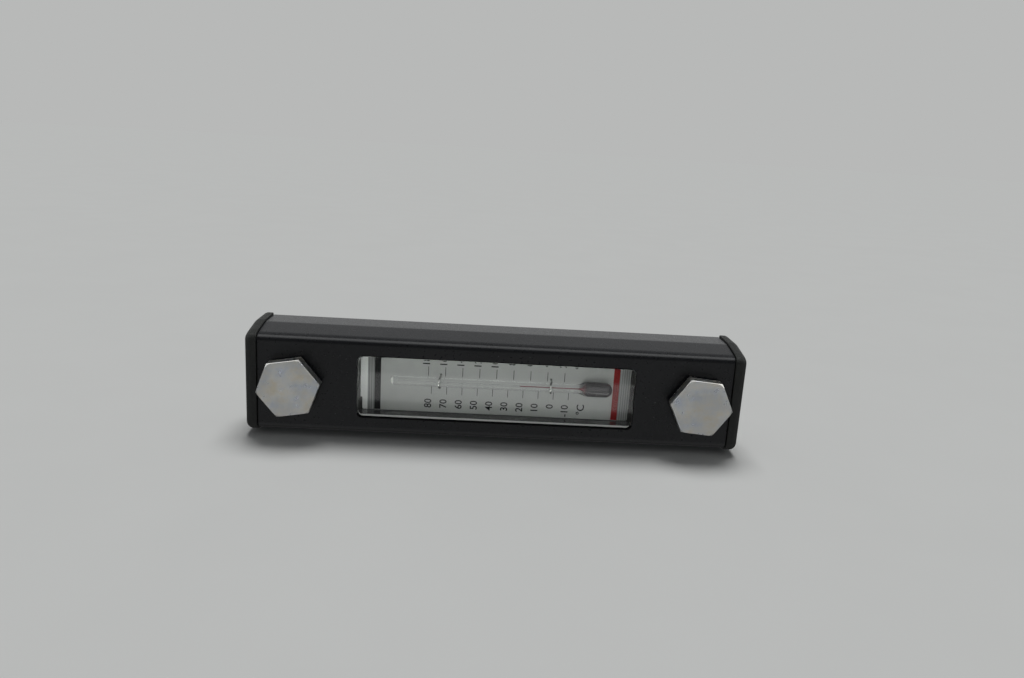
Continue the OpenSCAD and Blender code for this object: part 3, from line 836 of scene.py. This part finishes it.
def make_print(black, red):
    """The lines, marks and numbers on the plate."""
    half_w = PLATE_HI.z - LINE_MARGIN
    marks = bmesh.new()
    celsius = [(str(d), celsius_x(d)) for d in range(-10, 81, 10)]
    print_scale(marks, celsius, CELSIUS_MARK, CELSIUS_SHIFT, lambda label: CELSIUS_END_Z, True)
    fahrenheit = [(str(d), celsius_x((d - 32) / 1.8)) for d in range(20, 181, 20)]
    print_scale(marks, fahrenheit, FAHRENHEIT_MARK, FAHRENHEIT_SHIFT,
                lambda label: LONG_NUMBER_Z if len(label) > 2 else FAHRENHEIT_Z, False)
    at, z, height = CELSIUS_SIGN
    print_text(marks, "°C", celsius_x(at), z, height, 1.0, True)
    at, z, height = FAHRENHEIT_SIGN
    print_text(marks, "°F", celsius_x(at), z, height, NUMBER_SQUEEZE, False)
    bmesh.ops.recalc_face_normals(marks, faces=marks.faces)
    dress(to_object("scale_marks", marks), black, "root")
    for name, (x0, x1), material in (("max_line", MAX_LINE, black), ("min_line", MIN_LINE, red)):
        line = bmesh.new()
        ink_block(line, x0, -half_w, x1, half_w)
        bmesh.ops.recalc_face_normals(line, faces=line.faces)
        dress(to_object(name, line), material, "root")


def ball_end(x, radius, toward, steps=8):
    """Profile points of a round end whose tip is at x, from the tip on. toward is the side the bar is on."""
    return [(x + toward * radius * (1 - math.cos(math.pi / 2 * i / steps)),
             radius * math.sin(math.pi / 2 * i / steps)) for i in range(steps + 1)]


def liquid_profile(grow):
    """Profile of the bulb's liquid from the neck to its closed end, wider by grow."""
    end = ball_end(GLASS_HI.x - BULB_WALL_END, LIQUID_END_R, -1, 8)[::-1]
    swollen = [(x, r + LIQUID_SWELL * math.sqrt(r / LIQUID_END_R)) for x, r in end[:-1]]
    return [(x, r + grow) for x, r in LIQUID_NECK + swollen] + [(end[-1][0], 0)]


def hollow(outside, cavity):
    """A bmesh of a closed shell with a closed cavity in it, from their rings."""
    bm = solid(outside)
    inner = solid(cavity)
    bmesh.ops.reverse_faces(inner, faces=inner.faces)
    shell = bpy.data.meshes.new("cavity")
    inner.to_mesh(shell)
    inner.free()
    bm.from_mesh(shell)
    bpy.data.meshes.remove(shell)
    return bm


def make_thermometer(glass, highlight_paint, liquid, thread):
    """The glass stem and bulb with a sealed end painted near-white as a painted highlight, the liquid in the
    bulb and the spirit thread.
    """
    stem_x, bulb_x = GLASS_LO.x, GLASS_HI.x
    outside = ball_end(stem_x, STEM_R, 1, 10) + GLASS_NECK + ball_end(bulb_x, BULB_R, -1, 12)[::-1]
    bore_x = stem_x + BORE_START
    bore_end = [(bore_x, 0), (bore_x + 0.15, CAPILLARY_R * 0.8), (bore_x + 0.4, CAPILLARY_R)]
    bore = bore_end + liquid_profile(0)
    shell = hollow(turned_x(outside, STEM_Y, STEM_Z), turned_x(bore, STEM_Y, STEM_Z))
    tube = to_object("thermometer_tube", shell)
    dress(tube, glass, "root", ["thermometer_glass"], angle=60)
    tube.data.materials.append(highlight_paint)
    # The glass near the sealed tip takes the near-white paint as a painted highlight
    for face in tube.data.polygons:
        if face.center.x / MM < stem_x + SEALED_END_HIGHLIGHT:
            face.material_index = 1
    fill = [(LIQUID_NECK[0][0], 0)] + liquid_profile(LIQUID_OVER)
    bulb = to_object("bulb_fill", solid(turned_x(fill, STEM_Y, STEM_Z)))
    dress(bulb, liquid, "root", ["bulb_liquid"], angle=60)
    make_spirit_thread(thread)


def make_spirit_thread(material):
    """The spirit column between the bulb's neck and its tip."""
    tip, foot, radius, steps = SPIRIT_TIP_X, SPIRIT_FOOT_X, CAPILLARY_R + SPIRIT_OVER, 80
    full = tip + SPIRIT_TIP
    profile = [(tip, 0), (tip + SPIRIT_TIP * 0.3, radius * 0.6), (full, radius)]
    profile += [(full + (foot - full) * i / steps, radius) for i in range(1, steps + 1)]
    profile += [(foot, 0)]
    column = to_object("spirit_column", solid(turned_x(profile, STEM_Y, STEM_Z, 20)))
    column.data.materials.append(material)
    column.data.shade_smooth()
    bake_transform(column)
    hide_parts("spirit_thread")


def make_clip(side_name, material):
    """A wire bow over the stem, its legs through the plate and bent outward behind it."""
    x = CLIP_XS[side_name]
    back, steps, columns = PLATE_HI.y + CLIP_BEND_Y, 20, 16
    leg = [(back + dy, CLIP_R + out) for dy, out in CLIP_LEG]
    leg += [(PLATE_LO.y, CLIP_R), (STEM_Y + 0.6, CLIP_R)]
    turns = [math.pi * i / steps for i in range(steps + 1)]
    bow = [(STEM_Y - CLIP_R * math.sin(a), CLIP_R * math.cos(a)) for a in turns]
    points = leg + bow + [(y, -z) for y, z in leg[::-1]]
    rings = []
    for i, point in enumerate(points):
        before, after = Vector(points[max(i - 1, 0)]), Vector(points[min(i + 1, len(points) - 1)])
        along = (after - before).normalized()
        across = Vector((-along.y, along.x))
        ring = []
        for k in range(columns):
            angle = FULL_TURN * k / columns
            y, z = Vector(point) + across * WIRE_R * math.cos(angle)
            lean = CLIP_LEAN * max(0.0, STEM_Y - y) / CLIP_R
            ring.append((x - lean + WIRE_R * math.sin(angle), y, STEM_Z + z))
        rings.append(ring)
    clip = to_object("stem_clip_" + side_name, solid(rings))
    dress(clip, material, "root", ["wire_clip_" + side_name], angle=60)


def paint_frame_node(name, material):
    """Keeps a CAD node whose shape is right, and gives it a material."""
    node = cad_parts[name]
    node.data.materials.clear()
    node.data.materials.append(material)


# ---------------------------------------------------------------- studio

def make_floor():
    """A wide flat floor, pale and matt."""
    radius, columns = FLOOR_R, 96
    turns = [FULL_TURN * i / columns for i in range(columns)]
    ring = [(radius * math.cos(a), radius * math.sin(a), FLOOR_Z) for a in turns]
    bm = bmesh.new()
    bm.faces.new([bm.verts.new(Vector(p) * MM) for p in ring])
    floor = to_object("studio_floor", bm)
    p = Paint("studio_floor", Roughness=0.9, Specular_IOR_Level=0.0)
    p.colour(p.ramp(p.noise(30, 2), [(0.3, (0.775, 0.790, 0.785)), (0.7, (0.785, 0.80, 0.795))]))
    floor.data.materials.append(p.material)
    floor.visible_glossy = False
    floor.visible_transmission = False


def make_world():
    """What the room looks like to each kind of ray.

    It is plain pale grey from the lens and an even dim light on matt surfaces. In reflections and behind
    glass it is a round of darker and lighter bands, from front to back.
    """
    world = bpy.data.worlds.new("studio")
    bpy.context.scene.world = world
    world.use_nodes = True
    world.cycles.sampling_method = "NONE"
    tree = world.node_tree
    nodes, links = tree.nodes, tree.links

    def math_node(operation, a, b):
        made = nodes.new("ShaderNodeMath")
        made.operation = operation
        for socket, value in zip(made.inputs, (a, b)):
            if isinstance(value, bpy.types.NodeSocket):
                links.new(value, socket)
            else:
                socket.default_value = value
        return made.outputs[0]

    def background(colour, strength=1.0):
        made = nodes.new("ShaderNodeBackground")
        made.inputs["Strength"].default_value = strength
        if isinstance(colour, bpy.types.NodeSocket):
            links.new(colour, made.inputs["Color"])
        else:
            made.inputs["Color"].default_value = (*colour, 1)
        return made.outputs[0]

    def either(factor, a, b):
        made = nodes.new("ShaderNodeMixShader")
        for socket, source in zip(made.inputs, (factor, a, b)):
            links.new(source, socket)
        return made.outputs[0]

    where = nodes.new("ShaderNodeTexCoord").outputs["Generated"]
    parts = nodes.new("ShaderNodeSeparateXYZ")
    links.new(where, parts.inputs[0])
    angle = math_node("ARCTAN2", parts.outputs["Z"], math_node("MULTIPLY", parts.outputs["Y"], -1))
    turn = math_node("ADD", math_node("DIVIDE", angle, FULL_TURN), 0.5)

    def bands(stops):
        ramp = nodes.new("ShaderNodeValToRGB")
        links.new(turn, ramp.inputs["Fac"])
        points = ramp.color_ramp.elements
        while len(points) < len(stops):
            points.new(0.5)
        for point, (degrees, grey) in zip(points, stops):
            shade = grey / ROOM_TOP
            point.position = (degrees + 180) / 360
            point.color = (shade, shade * 1.01, shade * 1.01, 1)
        return background(ramp.outputs["Color"], ROOM_TOP)

    def step_up(at):
        made = nodes.new("ShaderNodeMapRange")
        links.new(angle, made.inputs["Value"])
        made.inputs["From Min"].default_value = math.radians(at - CARD_EDGE)
        made.inputs["From Max"].default_value = math.radians(at + CARD_EDGE)
        return made.outputs["Result"]

    on_card = math_node("SUBTRACT", step_up(CARD_LOW), step_up(CARD_HIGH))
    mirrored = either(on_card, bands(MIRRORED), background((CARD, CARD, CARD)))
    ray = nodes.new("ShaderNodeLightPath").outputs
    mirrored = either(ray["Is Transmission Ray"], mirrored, bands(THROUGH))
    room = either(ray["Is Diffuse Ray"], mirrored, background(DIM))
    seen = either(ray["Is Camera Ray"], room, background(PALE))
    links.new(seen, nodes["World Output"].inputs["Surface"])


def make_lamp():
    """One large soft lamp high behind the gauge."""
    lamp = bpy.data.lights.new("soft_lamp", "SUN")
    lamp.energy = LAMP_STRENGTH
    lamp.angle = math.radians(LAMP_SPREAD)
    lamp.color = (1.0, 0.995, 0.985)
    holder = bpy.data.objects.new("soft_lamp", lamp)
    holder.rotation_euler = [math.radians(a) for a in LAMP_TURN]
    holder.visible_glossy = False
    bpy.context.scene.collection.objects.link(holder)


def make_camera():
    """The camera, a little above the gauge and in front of it."""
    camera = bpy.data.cameras.new("camera")
    camera.sensor_width = SENSOR
    camera.lens = LENS
    camera.clip_start = 0.01
    holder = bpy.data.objects.new("camera", camera)
    holder.location = Vector(CAMERA_PLACE) * MM
    holder.rotation_euler = [math.radians(a) for a in CAMERA_TURN]
    bpy.context.scene.collection.objects.link(holder)
    bpy.context.scene.camera = holder


def build():
    """Makes every piece and the studio round them."""
    make_camera()
    bpy.context.scene.view_settings.view_transform = "Standard"
    black_ink = ink("black_ink", (0.006, 0.006, 0.007), (0.012, 0.012, 0.013))
    red_ink = ink("red_ink", (0.20, 0.009, 0.010), (0.25, 0.013, 0.013))
    plastic, seal, metal = moulded_black(), rubber(), zinc()
    make_cover(powder_coat(), bare_inside())
    # Near-white paint for the painted highlights on the pane's lower rim and the stem's sealed end
    highlight_paint = frosted_clear()
    make_sight_tube(clear_plastic(), highlight_paint)
    make_scale_plate(plate_white())
    make_print(black_ink, red_ink)
    make_thermometer(thermometer_glass(), highlight_paint, bulb_spirit(), red_spirit())
    wire = bright_wire()
    for name, side in SIDES:
        make_end_cap(name, side, plastic)
        make_bolt(name, side, metal)
        make_nut(name, side, metal)
        make_ring("flat_washer_" + name, "washer_" + name, side, WASHER_BORE_R, WASHER_EDGE, metal,
                  "washer_" + name)
        make_ring("under_head_seal_" + name, "head_seal_" + name, side, COVER_HOLE_R, SEAL_EDGE, seal,
                  "root")
        make_clip(name, wire)
        paint_frame_node("end_block_" + name, plastic)
        for kind in ("tube_seal_", "tank_seal_", "shank_seal_"):
            paint_frame_node(kind + name, seal)
    make_floor()
    make_world()
    make_lamp()


build()
